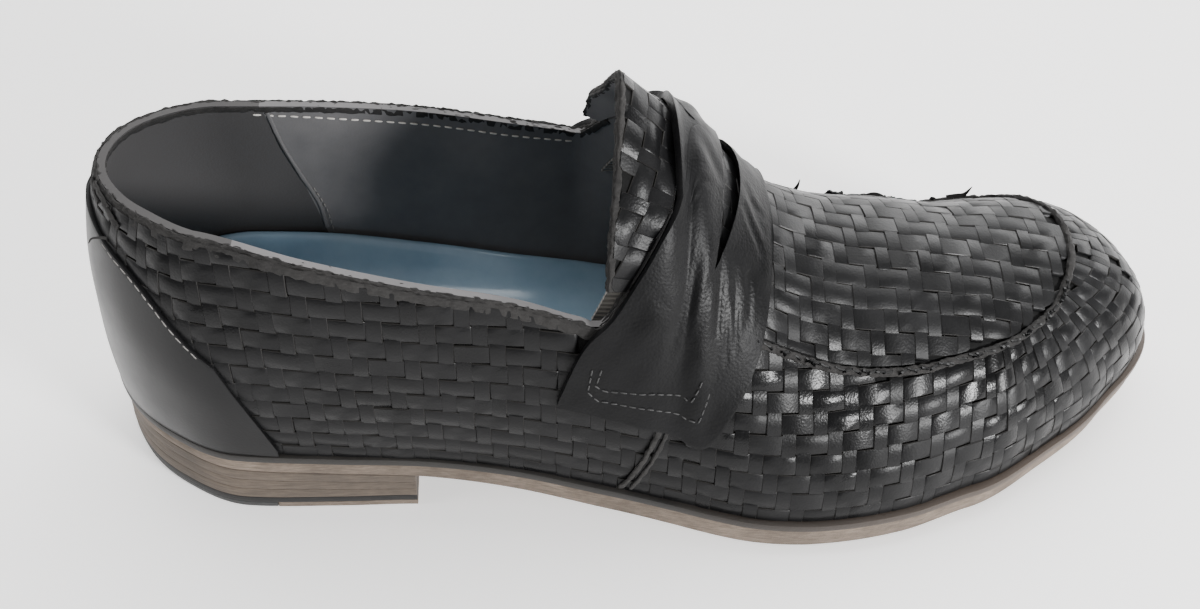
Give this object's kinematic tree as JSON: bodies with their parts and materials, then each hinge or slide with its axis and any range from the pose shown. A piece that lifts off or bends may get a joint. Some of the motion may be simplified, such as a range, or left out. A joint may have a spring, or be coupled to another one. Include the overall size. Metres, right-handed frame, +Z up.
{
  "type": "woven moccasin",
  "caption": "Right-foot slip-on moccasin: a hollow woven leather upper with a slotted strap on a stitched leather sole and stacked heel.",
  "frame": {"origin": "on the floor at the heel's resting face, under the middle of the heel on the spine line", "axes": "+X from heel to toe, +Z up, +Y to the inner side of the foot"},
  "size_m": [0.298, 0.1049, 0.1137],
  "materials": {
    "sole_leather": "raw edge, matte",
    "welt_leather": "satin",
    "heel_leather": "stacked, matte",
    "black_lift": "matte",
    "heel_rubber": "matte",
    "insole_leather": "glossy",
    "woven_leather": "satin, grained",
    "smooth_leather": "satin, creased",
    "elastic": "ribbed"
  },
  "bodies": {
    "root": {"outsole": "sole_leather", "welt": "welt_leather", "heel_lift_1": "heel_leather", "heel_lift_2": "heel_leather", "heel_lift_3": "heel_leather", "heel_lift_black": "black_lift", "top_piece_leather": "sole_leather", "top_piece_rubber": "heel_rubber", "insole": "insole_leather", "upper": "woven_leather", "strap": "smooth_leather", "counter": "smooth_leather", "tongue": "woven_leather", "gore_outer": "elastic", "gore_inner": "elastic"}
  },
  "joints": []
}
